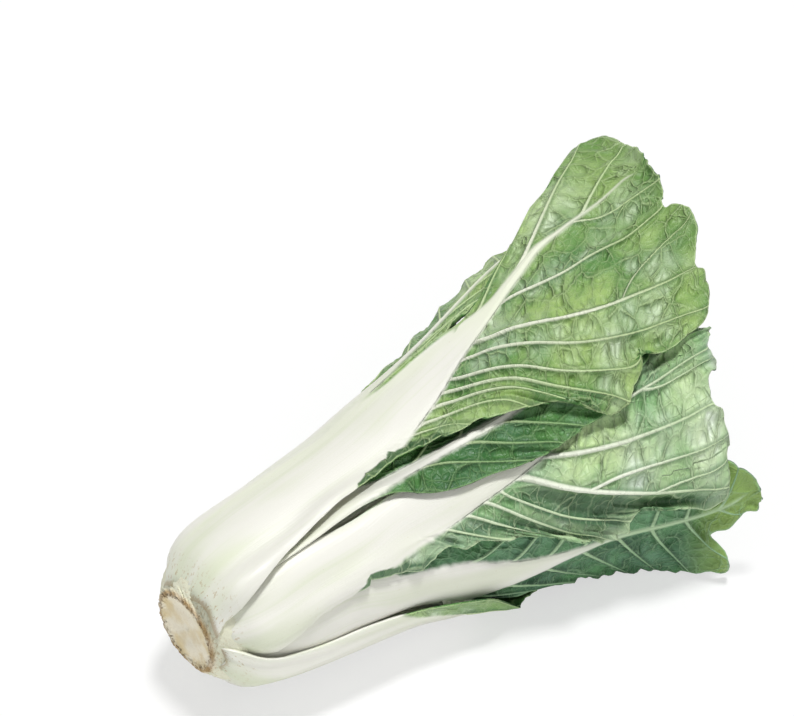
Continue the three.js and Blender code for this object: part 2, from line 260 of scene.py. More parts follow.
class Side:
    """The rows of one side of a leaf, from the midrib to one margin."""

    def __init__(self, sheet, outline, veins, roots_end):
        self.outline = outline
        self.lengths = lengths_up(outline)
        self.roots = np.array([vein[0] for vein in veins], float)
        self.notches = np.array([vein[3] for vein in veins], float)
        self.weights = np.array([vein[4] if len(vein) > 4 else 1.0 for vein in veins], float)
        ends = [self.nearest(sheet, vein[1], vein[2]) for vein in veins]
        plain = np.arange(sheet.start, self.roots[0] - PLAIN_GAP, PLAIN_STEP)
        level = [self.lengths[np.argmin(np.abs(outline[:, 0] - place))] for place in plain]
        level[0] = 0
        last = max(self.lengths[-1] - BLUNT, max(ends) + 0.3)
        self.margin_at = curve(sorted(zip([*plain, *self.roots, roots_end], [*level, *ends, last])))

    def nearest(self, sheet, along, angle):
        """Length up the outline to the point nearest a place and an angle."""
        return self.lengths[closest(self.outline, sheet.spot(along, angle))]

    def ends(self, roots):
        length = self.margin_at(roots)
        return np.stack([np.interp(length, self.lengths, column) for column in self.outline.T], axis=-1)

    def phase(self, roots):
        count = np.arange(len(self.roots))
        first = (roots - self.roots[0]) / (self.roots[1] - self.roots[0])
        last = count[-1] + (roots - self.roots[-1]) / (self.roots[-1] - self.roots[-2])
        within = np.interp(roots, self.roots, count)
        return np.where(roots < self.roots[0], first, np.where(roots > self.roots[-1], last, within))


def even_veins(sheet, edge, count):
    """Side veins for a leaf whose blade is mostly hidden: `count` of them, evenly up the midrib."""
    length = sheet.tip - sheet.start
    veins = []
    for i in range(count):
        share = FIRST_VEIN + (LAST_VEIN - FIRST_VEIN) * (i / (count - 1)) ** 0.9
        root = sheet.start + length * share
        end = min(root + length * VEIN_LEAD * (1 - share) / (1 - FIRST_VEIN) + 6, sheet.tip - 2)
        angle = follow(sheet.along, sheet.angle[:, edge], np.array(end))
        veins.append((root, end, float(angle), 1.5))
    return veins


def redraw(sheet, outline, points):
    """The outline, with its stretch between the first and last point led through all the points."""
    if not points:
        return outline
    points = sheet.spot(*np.array(points, float).T)
    first, last = (closest(outline, point) for point in points[[0, -1]])
    length = lengths_up(points)
    fine = follow(length, points, np.linspace(0, length[-1], 40 * len(points)))
    return np.concatenate([outline[:first], fine, outline[last + 1:]])


# %% [markdown]
# ## Rows and columns
# Where a leaf's outline shows, its margin is first led through given points. The rows are closest
# in the blade, and wide apart on the plain stalk. A row's end is moved out or in by the lobes,
# notches and teeth of the margin. Rows that crowd together beside a notch could cross, so at last
# every inner point is drawn towards its neighbours.

# %% Waves and swellings
def waves(place, seed, lengths):
    """A sum of sine waves of the given lengths, between -1 and 1."""
    chance = np.random.default_rng(seed)
    return sum(np.sin(2 * np.pi * place / length + chance.uniform(0, 7)) for length in lengths) / len(lengths)


def swell(along, across, place, side, length, width, height):
    """A smooth hump, or a hollow if `height` is negative, on the leaf's sheet."""
    return height * np.exp(-((along - place) / length) ** 2 - ((across - side) / width) ** 2)


# %% Rows of the grid
SIGNS = {"before": -1, "after": 1}
SHORT_OF_TIP = 0.8                 # mm from the last row's root to the tip
STALK_CLOSENESS = 0.4              # of rows on the plain stalk, against 1 in the blade


def set_out(sheet, plan):
    """The two sides of a leaf, and the root on the midrib of each row of its grid."""
    outline = sheet.margin()
    tip = plan.get("tip", (sheet.tip, sheet.middle[-1]))
    split = closest(outline, sheet.spot(*tip))
    roots_end = float(tip[0]) - SHORT_OF_TIP
    halves = {"before": outline[:split + 1], "after": outline[split:][::-1]}
    sides = {}
    for name, edge in (("before", 0), ("after", -1)):
        half = redraw(sheet, halves[name], plan.get(f"margin_{name}"))
        veins = plan.get(name) or even_veins(sheet, edge, plan["even"])
        sides[name] = Side(sheet, half, veins, roots_end)
    fine = np.linspace(sheet.start, roots_end, 1200)
    spread = (fine + sum(side.margin_at(fine) for side in sides.values())) / 3
    blade_from = min(side.roots[0] for side in sides.values()) - 20
    closeness = np.where(fine < blade_from, STALK_CLOSENESS, 1.0)
    spread = np.concatenate([[0], np.cumsum(np.diff(spread) * closeness[1:])])
    rows = int(spread[-1] / plan["spacing"])
    return sides, np.interp(np.linspace(spread[0], spread[-1], rows + 1), spread, fine), roots_end


# %% Lobes, notches and teeth
def margin_change(sheet, plan, name, side, roots, start, end):
    """How far out of its plain end the margin is at each row, in mm."""
    seed = plan["seed"] + SIGNS[name]
    at = side.margin_at(roots)
    phase = side.phase(roots)
    gone = np.clip(phase, 0, len(side.roots) - 1)
    lobe = plan.get("lobe", 0.8) * (np.abs(np.sin(np.pi * gone)) ** 0.8 - 0.4)
    nearest = np.rint(gone).astype(int)
    stride = np.abs(np.gradient(at))
    off = np.abs(phase - nearest) * stride / np.maximum(np.abs(np.gradient(phase)), 1e-6)
    notch = side.notches[nearest] * np.exp(-(off / (2.2 + 0.35 * side.notches[nearest])) ** 1.4)
    arrives = end - start
    runs = np.gradient(end, axis=0)
    meets = np.abs(arrives[:, 0] * runs[:, 1] - arrives[:, 1] * runs[:, 0])
    meets /= np.maximum(np.hypot(*arrives.T) * np.hypot(*runs.T), 1e-6)
    tooth = plan.get("tooth", 1.3) * waves(at, seed, (47, 29))
    fine_tooth = plan.get("fine_tooth", 0.5) * waves(at, seed + 3, (10.3, 6.1, 4.3))
    tooth += fine_tooth * (1 - ease(stride, 1.2, 2.4))
    lobe, notch, tooth = lobe * meets, notch * np.sqrt(meets), tooth * meets
    for along, angle, wide, high in plan.get(f"bulges_{name}", ()):
        tooth += high * np.exp(-((at - side.nearest(sheet, along, angle)) / wide) ** 2)
    return (lobe - notch + tooth) * ease(roots, side.roots[0] - 18, side.roots[0] + 4)


# %% Points between the midrib and a margin
UNTANGLE_STEPS = 200


def flesh_width(plan, name):
    """Half width of the stalk and midrib on one side, as a curve along the leaf."""
    return curve(plan.get(f"flesh_{name}", plan["flesh"]))


def untangle(path):
    """Draws a grid's inner points towards their neighbours, so rows near a notch don't cross."""
    for _ in range(UNTANGLE_STEPS):
        middle = path[1:-1, 1:-1]
        up, down, left, right = path[2:, 1:-1], path[:-2, 1:-1], path[1:-1, :-2], path[1:-1, 2:]
        by_row, by_column = (up - down) / 2, (right - left) / 2
        pull_row = (by_column ** 2).sum(axis=2, keepdims=True)
        pull_column = (by_row ** 2).sum(axis=2, keepdims=True)
        skew = (by_row * by_column).sum(axis=2, keepdims=True)
        corners = path[2:, 2:] - path[2:, :-2] - path[:-2, 2:] + path[:-2, :-2]
        new = pull_row * (up + down) + pull_column * (left + right) - 0.5 * skew * corners
        path[1:-1, 1:-1] = 0.1 * middle + 0.9 * new / (2 * (pull_row + pull_column) + 1e-9)
    return path


def side_grid(sheet, plan, name, side, roots, sway):
    """Points [along, across] of one side, from the midrib out, and each column's share of the way."""
    end = side.ends(roots)
    width = np.abs(end[:, 1] - sway(roots))
    fleshy = np.minimum(flesh_width(plan, name)(roots), 0.45 * width)
    even_out(fleshy, 60)
    start = np.stack([roots, sway(roots) + SIGNS[name] * fleshy], axis=-1)
    length = np.hypot(*(end - start).T)
    share = np.linspace(0, 1, max(8, int(length.max() / plan["spacing"])) + 1)[None, :]
    change = margin_change(sheet, plan, name, side, roots, start, end) / np.maximum(length, 8)
    t = (share * (1 + np.clip(change, -0.6, 0.5))[:, None])[..., None]
    bend = curve(plan.get("bend", [(0, 0.06), (400, 0.06)]))(roots)
    control = start + (end - start) * np.stack([0.5 - bend, 0.5 + bend], axis=-1)
    path = start[:, None] * (1 - t) ** 2 + 2 * control[:, None] * t * (1 - t) + end[:, None] * t ** 2
    return untangle(path), share


# %% [markdown]
# ## The numbers on a leaf
# The finish needs to know where on the leaf a point is, so these numbers are stored on the points: place
# along and across, distance beyond the flesh, phase, the distance between side veins there, the size of the
# nearest vein, the phase of a fork, the distance from the margin and how much painted shade darkens the
# colour, at the bottom of a fold or on the ruffled strip beside a stalk. The same numbers lift the points off
# the sheet: the blade sags between its side veins, waves towards the margin, puckers where the stalk ends,
# and has a few folds.

# %% Distances
STORED = ("along", "across", "beyond", "phase", "pitch", "vein", "fork", "margin", "painted_shade")
NO_FORK, NO_PHASE = 9.0, -9.0      # stored where there is none
USUAL_PITCH = 24                   # mm from one side vein to the next


def unit(vectors):
    """Vectors of length 1 with the same directions."""
    return vectors / np.maximum(np.linalg.norm(vectors, axis=-1, keepdims=True), 1e-6)


def distances(row_phase, spot):
    """Distance between the side veins at each point of one side, and from it to the margin, in mm."""
    step = np.linalg.norm(np.diff(spot, axis=1), axis=2)
    reach = np.concatenate([np.zeros((len(spot), 1)), np.cumsum(step, axis=1)], axis=1)
    along_row = unit(np.gradient(spot, axis=1))
    to_next = np.gradient(spot, axis=0)
    aside = to_next - (to_next * along_row).sum(axis=2, keepdims=True) * along_row
    phase_step = np.maximum(np.gradient(row_phase), 1e-5)[:, None]
    pitch = np.clip(np.linalg.norm(aside, axis=2) / phase_step, 2, 60)
    even_out(pitch, 40)
    up = unit(np.gradient(spot[:, -1], axis=0))
    slant = np.sqrt(np.clip(1 - (up * along_row[:, -1]).sum(axis=1) ** 2, 0.02, 1))[:, None]
    return pitch, (reach[:, -1:] - reach) * slant


# %% Numbers of one side
def side_numbers(plan, name, side, roots, path, share, spot):
    """The stored numbers of one side's points, and how far each rises off the sheet, in mm."""
    f = np.broadcast_to(share, path.shape[:2])
    here = path[..., 0]
    row_phase = side.phase(roots)
    phase = np.broadcast_to(row_phase[:, None], f.shape)
    pitch, margin = distances(row_phase, spot)
    last = len(side.roots) - 1
    weight = side.weights[np.clip(np.rint(row_phase).astype(int), 0, last)][:, None]
    size = 0.4 + plan["vein"] * weight * (1 - f) ** 1.1
    size = np.where((phase > -0.5) & (phase < last + 0.5), size, 0)
    fork = np.full(f.shape, NO_FORK)
    for number, begins, leaves in plan.get(f"forks_{name}", ()):
        gap = phase - (number + leaves * (1 - np.exp(-np.maximum(f - begins, 0) / 0.12)))
        fork = np.where((f > begins) & (np.abs(gap) < np.abs(fork)), gap, fork)

    def wavy(seed, lengths):
        return waves(row_phase * USUAL_PITCH, plan["seed"] + seed + SIGNS[name], lengths)

    sag = np.sin(np.pi * np.clip(phase, 0, last)) ** 2 * ease(f, 0, 0.3) * ease(pitch, 5, 14)
    rise = -plan.get(f"sag_{name}", 1.5) * sag
    ruffle = plan.get(f"ruffle_{name}", plan["ruffle"]) * f ** 2.2 * ease(here, 95, 150)
    rise += ruffle * wavy(500, (31, 17, 11))[:, None]
    first = side.roots[0]
    low_part = ease(roots, first - 8, first) * (1 - ease(roots, first + 20, first + 60))
    crumple = plan.get(f"crumple_{name}", plan.get("crumple", 1.0))
    rise += crumple * f ** 1.6 * (wavy(900, (13, 8.3, 6.1)) * low_part)[:, None]
    # painted shade: the colour is darkened at the bottom of each fold, fully where the fold is as deep in mm
    # as the plan's number for that (5 unless given), and on the ruffled strips by their last number
    painted_shade = np.zeros(f.shape)
    for at_phase, wide, high, begins, full in plan.get(f"folds_{name}", ()):
        fold = high * np.exp(-((row_phase[:, None] - at_phase) / wide) ** 2)
        fold = fold * ease(f, begins, full) * ease(margin, 0, 5)
        rise += fold
        painted_shade += np.maximum(-fold, 0) / plan.get("painted_shade", 5.0)
    strip_beyond = np.full(f.shape, -np.inf)
    for begins, stops, width, shade in plan.get(f"strips_{name}", ()):
        strip = width * ease(here, begins, begins + 12) * (1 - ease(here, stops - 12, stops))
        strip = strip * (1 + 0.25 * waves(here, plan["seed"], (11, 5.3))) - margin
        crumpled = ease(strip, -1.5, 1.5)
        strip_beyond = np.maximum(strip_beyond, strip - 6 * (1 - crumpled))
        rise += 1.2 * crumpled * waves(here, plan["seed"] + 40, (9.1, 5.3, 3.7))
        painted_shade += shade * crumpled
    numbers = {"phase": phase, "pitch": pitch, "vein": size, "fork": fork, "margin": margin, "painted_shade": painted_shade}
    return numbers, strip_beyond, rise


# %% Points of a whole leaf
FLESH_COLUMNS = 16
BLADE_THICKNESS = 0.75             # mm
FULL_THICKNESS = 12.0              # mm, at a vertex weight of 1
PROUD = 0.9                        # mm that the flesh stands above the blade
CLEAR_OF_TABLE = 0.4               # mm


def stalk_shape(sheet, along, beyond, margin):
    """How far the flesh stands proud of the blade, and its free edges and foot are rounded, in mm."""
    low = 1 - ease(along, 90, 115)
    above = along - sheet.start
    corner = 1 - ease(margin, 0, 9)
    foot = 5.5 * (1 - ease(above, -3, 13)) + 3.5 * corner * (1 - ease(above, 2, 22))
    proud = PROUD * (1 - ease(beyond, -3.0, 1.0)) * ease(along, 95, 125)
    edge = 1.6 * (1 - np.minimum(margin, 6) / 6) ** 2 * low
    return proud, edge * ease(along, sheet.start + 2, sheet.start + 14), foot * (sheet.start < 12)


def lay_out(sheet, plan):
    """Points, thickness and stored numbers of a leaf, each as rows by columns."""
    sides, roots, roots_end = set_out(sheet, plan)
    sway = curve(plan.get("sway", [(0, 0), (400, 0)]))
    grids = {name: side_grid(sheet, plan, name, side, roots, sway) for name, side in sides.items()}
    before, after = (path for path, _ in grids.values())
    share = np.linspace(0, 1, FLESH_COLUMNS + 1)[1:-1][None, :, None]
    middle = before[:, :1] * (1 - share) + after[:, :1] * share
    path = np.concatenate([before[:, ::-1], middle, after], axis=1)
    along, across = path[..., 0], path[..., 1]
    columns = {"before": slice(0, before.shape[1]), "after": slice(-after.shape[1], None)}

    centre = sway(along)
    flesh = np.where(across < centre, flesh_width(plan, "before")(along), flesh_width(plan, "after")(along))
    beyond = np.abs(across - centre) - flesh + 3 * (1 - ease(roots_end + SHORT_OF_TIP - along, 0, 12))
    outer = sheet.read(sheet.outer, along, across)
    thick = sheet.read(sheet.thick, along, across)
    angle = sheet.angle_at(along, across)
    plain = {"phase": NO_PHASE, "pitch": 0, "vein": 0, "fork": NO_FORK, "margin": 0, "painted_shade": 0}
    stored = {"along": along, "across": across - centre, "beyond": beyond}
    stored.update({key: np.full(along.shape, float(value)) for key, value in plain.items()})
    rise = np.zeros_like(along)
    for name, side in sides.items():
        where = columns[name]
        outward = (slice(None), slice(None, None, SIGNS[name]))
        spot = to_frame(along[:, where], angle[:, where], outer[:, where])[outward] / MM
        numbers, strip_beyond, lift = side_numbers(plan, name, side, roots, *grids[name], spot)
        for key, value in numbers.items():
            stored[key][:, where] = value[outward]
        beyond[:, where] = np.maximum(beyond[:, where], strip_beyond[outward])
        rise[:, where] += lift[outward]
    to_tip = np.minimum(roots_end - roots, 40)[:, None]
    stored["margin"][:, before.shape[1]:-after.shape[1]] = to_tip

    proud, edge, foot = stalk_shape(sheet, along, beyond, stored["margin"])
    rise += proud
    rise -= edge
    rise -= foot
    for hump in plan.get("swells", ()):
        rise += swell(along, across, *hump)
    fleshy = 1 - ease(beyond, -1.5, 1.5)
    thick = BLADE_THICKNESS + np.maximum(thick - BLADE_THICKNESS, 0) * fleshy
    points = to_frame(along, angle, outer + rise)
    points[..., 2] = np.maximum(points[..., 2], CLEAR_OF_TABLE * MM)
    return points, thick, stored


# %% A grid of points as a mesh
def grid_mesh(name, points):
    """A grid mesh on rows and columns of points, and the row and column of each of its points."""
    rows, columns = points.shape[0] - 1, points.shape[1] - 1
    bpy.ops.object.select_all(action="DESELECT")
    bpy.ops.mesh.primitive_grid_add(x_subdivisions=columns, y_subdivisions=rows, size=1)
    made = bpy.context.object
    made.name = made.data.name = name
    spots = np.empty(len(made.data.vertices) * 3)
    made.data.vertices.foreach_get("co", spots)
    x, y, _ = spots.reshape(-1, 3).T
    at = np.rint((y + 0.5) * rows).astype(int), np.rint((x + 0.5) * columns).astype(int)
    made.data.vertices.foreach_set("co", points[at].ravel())
    made.data.update()
    print(f"{name}: {rows} rows, {columns} columns")
    return made, at


# %% Grid to leaf
LEVELS = 200                       # that thickness is rounded to, so points can be weighted in groups


def make_leaf(name, plan):
    """A mesh object for one leaf, open and without thickness, with its numbers stored."""
    points, thick, stored = lay_out(Sheet(name), plan)
    leaf, at = grid_mesh(f"{name}_fine", points)
    for key in STORED:
        layer = leaf.data.attributes.new(key, "FLOAT", "POINT")
        layer.data.foreach_set("value", stored[key][at].astype(np.float32))
    group = leaf.vertex_groups.new(name="thickness")
    levels = np.rint(np.clip(thick[at] / FULL_THICKNESS, 0, 1) * LEVELS).astype(int)
    for level in np.unique(levels):
        group.add(np.flatnonzero(levels == level).tolist(), float(level) / LEVELS, "REPLACE")
    return leaf


# %% [markdown]
# ## Formulas on nodes
# The same pattern of veins shapes the mesh, in a Geometry Nodes modifier, and colours it, in the
# materials. Both kinds of tree have Math, Noise and Voronoi nodes, so one small class lets a
# formula be written once, as ordinary Python, and added to either.

# %% A number in a node tree
def node(tree, kind, settings, inputs, output=0):
    """Adds a node, its settings first and then the values or links of its sockets."""
    made = tree.nodes.new(kind)
    for name, setting in settings.items():
        setattr(made, name, setting)
    for name, given in inputs.items():
        if isinstance(given, Value):
            tree.links.new(given.socket, made.inputs[name])
        else:
            made.inputs[name].default_value = given
    return Value(tree, made.outputs[output])


def maths(operation):
    """A function that adds one kind of Math node, with the value it is given first as first input."""
    def add(value, *others):
        inputs = {0: value, **dict(enumerate(others, 1))}
        return node(value.tree, "ShaderNodeMath", {"operation": operation}, inputs)
    return add


class Value:
    """A socket that can be used in formulas. Each operation adds a Math node to its tree."""

    def __init__(self, tree, socket):
        self.tree, self.socket = tree, socket

    def __rsub__(self, other):
        return self * -1 + other

    __add__ = __radd__ = maths("ADD")
    __mul__ = __rmul__ = maths("MULTIPLY")
    __sub__ = maths("SUBTRACT")
    __truediv__ = maths("DIVIDE")
    __pow__ = maths("POWER")
    __abs__ = maths("ABSOLUTE")


smaller = maths("MINIMUM")
larger = maths("MAXIMUM")
rounded = maths("ROUND")
sign_of = maths("SIGN")


# %% Stored numbers, steps and noises
def stored_numbers(tree, *names):
    """Numbers stored on a leaf's points."""
    if tree.bl_idname == "GeometryNodeTree":
        kind, settings = "GeometryNodeInputNamedAttribute", {"data_type": "FLOAT"}
        return [node(tree, kind, settings, {"Name": name}) for name in names]
    kind, settings = "ShaderNodeAttribute", {"attribute_type": "GEOMETRY"}
    return [node(tree, kind, {**settings, "attribute_name": name}, {}, "Fac") for name in names]


def between(value, low, high):
    """0 below `low`, 1 above `high` and a smooth step between them, or the other way round."""
    if low > high:
        return 1 - between(value, high, low)
    inputs = {"Value": value, "From Min": low, "From Max": high}
    return node(value.tree, "ShaderNodeMapRange", {"interpolation_type": "SMOOTHSTEP"}, inputs)


def place(tree, x, y, z=0.0):
    return node(tree, "ShaderNodeCombineXYZ", {}, {0: x, 1: y, 2: z})


def noise(at, scale, detail, roughness=0.5):
    inputs = {"Vector": at, "Scale": scale, "Detail": detail, "Roughness": roughness}
    return node(at.tree, "ShaderNodeTexNoise", {"noise_dimensions": "3D"}, inputs)


def cell_edges(at, scale, randomness=0.9):
    """Distance to the nearest border between Voronoi cells."""
    settings = {"voronoi_dimensions": "2D", "feature": "DISTANCE_TO_EDGE"}
    inputs = {"Vector": at, "Scale": scale, "Randomness": randomness}
    return node(at.tree, "ShaderNodeTexVoronoi", settings, inputs)


# %% [markdown]
# ## Veins and cushions
# The underside of a blade is what shows on this head. Side veins stand out as ridges that taper
# towards the margin. Between them runs a net of finer veins, with small meshes inside larger ones,
# and inside each mesh the blade sinks away in a shallow hollow. The net is the borders of Voronoi
# cells, laid out on the unrolled leaf in mm, so the meshes keep one size all over it. They are
# turned with the side veins and drawn out across them, which makes rungs in the narrow lanes.

# %% The vein pattern
HOLLOW = 1.8                       # mm, depth between the veins
CELL = 12.0                        # mm, size of the net's larger meshes
SMALL_CELL = 4.8                   # mm, size of the smaller ones
SLANT = np.radians(38)             # of the side veins to the midrib


def vein_pattern(tree, seed):
    """Heights and masks of the veins, and a mask of painted shade in the creases beside them, from the
    numbers stored on a leaf's points.
    """
    phase, pitch, along, across, size, fork, beyond, margin = stored_numbers(
        tree, "phase", "pitch", "along", "across", "vein", "fork", "beyond", "margin")
    off = abs(phase - rounded(phase)) * pitch
    fork_off = abs(fork) * pitch
    half = sign_of(across) * 40.0 + seed * 31.0
    out = along * np.cos(SLANT) + abs(across) * np.sin(SLANT)
    up = abs(across) * np.cos(SLANT) - along * np.sin(SLANT)
    bend = noise(place(tree, out * 0.11, up * 0.11, half), 1.0, 1.0) - 0.5
    spot = place(tree, out + bend * 5.0 + half, up * 0.65 - bend * 3.0)
    large = cell_edges(spot, 1 / CELL) * CELL
    small = cell_edges(spot, 1 / SMALL_CELL) * SMALL_CELL
    some = between(noise(place(tree, out * 0.1, up * 0.07, half + 9.0), 1.0, 1.0), 0.36, 0.62)

    nearest = smaller(off, fork_off)
    wide_off = smaller(off / larger(size, 0.05), fork_off / larger(size * 0.8, 0.05))
    there = between(size, 0.0, 0.4)
    clear = between(wide_off, 0.9, 1.3)
    cup = between(large, 0.2, 3.4) * (0.3 + 0.4 * some) + between(small, 0.0, 1.9) * (0.05 + 0.35 * some)
    # painted shade in the creases: darker beside the lines of the net, and beside the side veins below
    painted_crease_shade = larger(between(large, 2.0, 0.6) * (0.25 + 0.5 * some), between(small, 1.2, 0.4) * some * 0.35)
    return {"blade": between(beyond, 0.2, 3.0),
            "size": size,
            "ridge": between(wide_off, 1.2, 0.5) * there,
            "crown": between(wide_off, 1.35, 0.0) * there,
            "loop": between(large, 0.7, 0.1) * clear * (0.4 + 0.6 * some),
            "rung": between(small, 0.45, 0.05) * (0.2 + 0.8 * some) * clear,
            "hollow": cup * between(nearest, 0.4, 3.4) * between(margin, 0.5, 6.0),
            "painted_crease_shade": larger(painted_crease_shade, between(nearest - size, 2.2, 0.2))}


# %% Raising the veins in the mesh
def raise_veins(leaf, seed, depth):
    """Moves a leaf's points along their normals, up at the veins and down between them."""
    tree = bpy.data.node_groups.new(f"{leaf.name}_relief", "GeometryNodeTree")
    for way in ("INPUT", "OUTPUT"):
        tree.interface.new_socket("Geometry", in_out=way, socket_type="NodeSocketGeometry")
    pattern = vein_pattern(tree, seed)
    at_margin = between(*stored_numbers(tree, "margin"), 0.3, 3.5)
    height = (pattern["crown"] * (0.4 + 0.5 * pattern["size"]) + pattern["loop"] * 0.3) * at_margin
    height = height + pattern["rung"] * 0.15 - pattern["hollow"] * HOLLOW * depth
    height = height * pattern["blade"] * MM
    normal = node(tree, "GeometryNodeInputNormal", {}, {})
    offset = node(tree, "ShaderNodeVectorMath", {"operation": "SCALE"}, {0: normal, "Scale": height})
    came_in = Value(tree, tree.nodes.new("NodeGroupInput").outputs[0])
    moved = node(tree, "GeometryNodeSetPosition", {}, {"Geometry": came_in, "Offset": offset})
    went_out = tree.nodes.new("NodeGroupOutput")
    tree.links.new(moved.socket, went_out.inputs[0])
    modifier = leaf.modifiers.new("Relief", "NODES")
    modifier.node_group = tree
    bpy.ops.object.modifier_apply(modifier=modifier.name)
    bpy.data.node_groups.remove(tree)


# %% Giving the leaf its thickness
def thicken(leaf):
    solid = leaf.modifiers.new("Thickness", "SOLIDIFY")
    solid.thickness = FULL_THICKNESS * MM
    solid.offset = -1
    solid.vertex_group = "thickness"
    solid.material_offset = 1
    solid.material_offset_rim = 1
    bpy.ops.object.modifier_apply(modifier=solid.name)
    bpy.ops.object.shade_smooth()


# %% [markdown]
# ## Leaf finish
# The stalk is nearly white flesh with faint green streaks along it. The blade's underside is a green in
# patches with a pale waxy bloom, and its veins are whitish green. That pale colour also serves as a painted
# sheen on the cushions. Painted shade darkens the creases beside the veins, the bottoms of folds and the
# ruffled strips beside the stalks. The upper side is darker and smoother. All the colours follow the stored
# numbers, so they stay on the veins at any size.

# %% Colours and bumps
def paint(red, green, blue):
    """A colour from 0 to 255, as it would be painted, in the linear values that Blender uses."""
    share = np.array([red, green, blue]) / 255
    linear = np.where(share <= 0.04045, share / 12.92, ((share + 0.055) / 1.055) ** 2.4)
    return (*linear.tolist(), 1.0)


def blend(factor, first, second):
    """A colour between two others."""
    settings = {"data_type": "RGBA", "blend_type": "MIX", "clamp_factor": True}
    return node(factor.tree, "ShaderNodeMix", settings, {0: factor, 6: first, 7: second}, 2)


def layered(colour, *layers):
    """A colour with others laid over it in turn, each given as [how much of it, colour]."""
    for share, over in layers:
        colour = blend(share, colour, over)
    return colour


def new_material(name):
    material = bpy.data.materials.new(name)
    material.use_nodes = True
    tree = material.node_tree
    return material, tree, tree.nodes["Principled BSDF"]


def feed(shader, name, value):
    shader.id_data.links.new(value.socket, shader.inputs[name])


def feed_bumps(shader, height):
    """Bumps of the given height in mm."""
    inputs = {"Height": height, "Distance": MM, "Strength": 1.0}
    feed(shader, "Normal", node(shader.id_data, "ShaderNodeBump", {}, inputs, "Normal"))


def leaf_noise(tree, seed):
    """A function that adds noise on the unrolled leaf, from its features per mm along and across."""
    along, across = stored_numbers(tree, "along", "across")

    def add(by_along, by_across, detail, shift=0, roughness=0.5, scale=1.0):
        spot = place(tree, along * by_along, across * by_across, seed + shift)
        return noise(spot, scale, detail, roughness)
    return add


# %% Blade and stalk colours
DRIED = paint(186, 160, 108)


def blade_colour(tree, pattern, mottle, net, colours):
    """Greens of a blade's underside, from patches at the bottom to the veins on top, with a painted sheen and
    painted shade among them.
    """
    along, margin, painted_shade = stored_numbers(tree, "along", "margin", "painted_shade")
    patch = mottle(0.01, 0.01, 2.0, scale=3.0)
    small = mottle(0.01, 0.01, 3.0, scale=22.0)
    bloom_and_sheen = mottle(0.035, 0.035, 3.0)
    far = []
    if "far" in colours:
        begins, all_over, share = colours["far_from"]
        far = [(between(along, begins, all_over) * share, colours["far"])]
    return layered(
        blend(between(patch, 0.31, 0.69), colours["shade"], colours["light"]),
        (between(small, 0.45, 0.75) * 0.4, colours["shade"]),
        (between(net, 0.1, 0.0) * 0.22, colours["vein"]),
        # a pale waxy bloom, whiter in the cushions' hollows, that is partly a painted sheen standing in for
        # their shine
        (between(bloom_and_sheen, 0.42, 0.68) * (0.3 + 0.5 * pattern["hollow"]), colours["bloom_and_sheen"]),
        # painted shade in the creases beside the veins
        (pattern["painted_crease_shade"] * 0.5, colours["deep"]),
        # painted shade at the bottom of folds and on the ruffled strips beside the stalks
        (smaller(painted_shade, 1.0) * 0.85, colours["deep"]),
        *far,
        (pattern["rung"] * 0.3, colours["vein"]),
        (pattern["loop"] * 0.42, colours["vein"]),
        (pattern["ridge"], blend(between(pattern["size"], 0.5, 1.3), colours["vein"], colours["rib"])),
        (between(margin, 0.9, 0.2) * 0.7, colours["vein"]))


def stalk_colour(along, mottle, colours):
    """White flesh with green streaks, which turns to the colour of a rib, and dries at its cut end."""
    streak = mottle(0.006, 0.35, 3.0, roughness=0.6)
    broad = mottle(0.012, 0.05, 2.0, shift=3)
    fleck = mottle(0.55, 0.55, 3.0, shift=9, roughness=0.7)
    return layered(
        colours["flesh"],
        (between(broad, 0.42, 0.7) * 0.45, colours["tint"]),
        (between(streak, 0.5, 0.72) * 0.3, colours["tint"]),
        (between(along, 60.0, 0.0) * between(broad, 0.3, 0.6) * 0.6, colours["tint"]),
        (between(along, 165.0, 205.0), colours["rib"]),
        (between(fleck, 0.56, 0.64) * between(along, 17.0, 4.0) * 0.75, DRIED),
        (between(fleck, 0.66, 0.72) * between(broad, 0.45, 0.6) * 0.3, DRIED),
        (between(along + fleck * 5.0, 7.0, 5.5) * 0.6, DRIED))


# %% The two faces of a leaf
def underside(name, colours, seed):
    """Stalk, veins and blade of a leaf's outer face."""
    material, tree, shader = new_material(name)
    pattern = vein_pattern(tree, seed)
    mottle = leaf_noise(tree, seed)
    along, across, beyond, margin = stored_numbers(tree, "along", "across", "beyond", "margin")
    net = cell_edges(place(tree, along * 0.3 + seed, across * 0.3), 1.0, 1.0)
    ragged = (mottle(0.25, 0.12, 3.0) - 0.5) * between(along, 195.0, 150.0)
    is_blade = between(beyond + ragged * 1.8, -1.2, 1.6)
    is_blade = larger(is_blade, between(margin, 3.0, 1.0) * between(along, 120.0, 140.0))
    blade = blade_colour(tree, pattern, mottle, net, colours)
    feed(shader, "Base Color", blend(is_blade, stalk_colour(along, mottle, colours), blade))
    uneven = mottle(0.01, 0.01, 3.0, scale=9.0)
    feed(shader, "Roughness", 0.36 + 0.16 * uneven + 0.1 * pattern["ridge"] * is_blade)
    grain, striae = mottle(0.9, 0.9, 3.0), mottle(0.02, 1.6, 2.0)
    pucker, crinkle = mottle(0.22, 0.22, 2.0, shift=2), mottle(0.5, 0.5, 2.0, shift=4)
    crest = pattern["rung"] * 0.2 + pattern["loop"] * 0.35 + pattern["crown"] * 0.35 - pattern["hollow"] * 0.5
    height = crest + between(net, 0.16, 0.0) * 0.12 + grain * 0.08 + crinkle * 0.2 + pucker * 0.4
    feed_bumps(shader, height * 1.5 * is_blade + (striae * 0.16 + grain * 0.05) * (1 - is_blade))
    shader.inputs["Specular IOR Level"].default_value = 0.42
    return material


